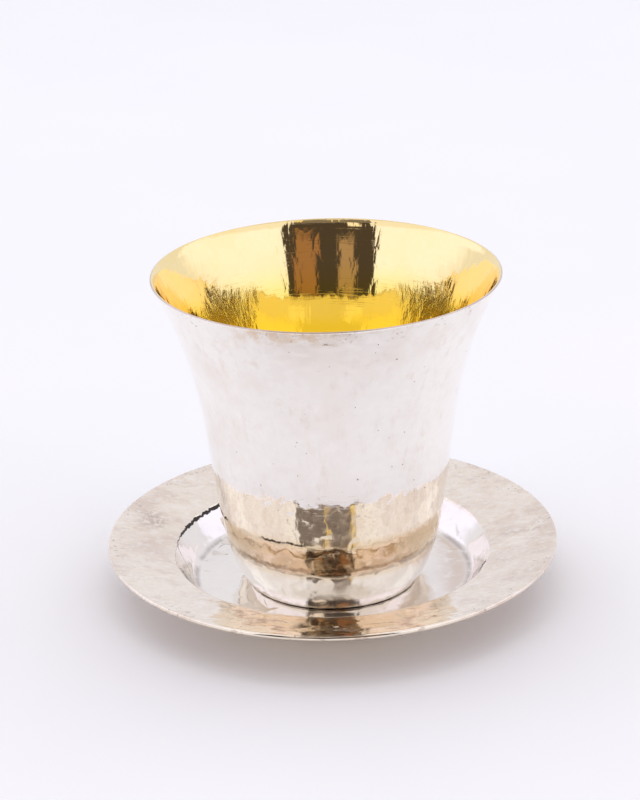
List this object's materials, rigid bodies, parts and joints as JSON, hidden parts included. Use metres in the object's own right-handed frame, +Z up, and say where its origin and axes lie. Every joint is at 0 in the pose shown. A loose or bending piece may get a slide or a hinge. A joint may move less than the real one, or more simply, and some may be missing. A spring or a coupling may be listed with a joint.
{
  "type": "kiddush cup",
  "caption": "Flared hammered silver wine cup with a gilt inside, standing in the well of its own broad-rimmed round saucer.",
  "frame": {"origin": "middle of the saucer's flat underside, where the set stands on the table", "axes": "+Z up along the axis of the cup and saucer; +X and +Y are any two square directions, because both pieces are round"},
  "size_m": [0.1054, 0.1054, 0.076],
  "materials": {
    "hammered_silver": "hammered all over and polished",
    "planished_silver": "planished, with a soft brushed polish",
    "gilding": "polished gilding over the cup's inside"
  },
  "bodies": {
    "root": {"cup": "hammered_silver", "saucer": "planished_silver"}
  },
  "joints": []
}
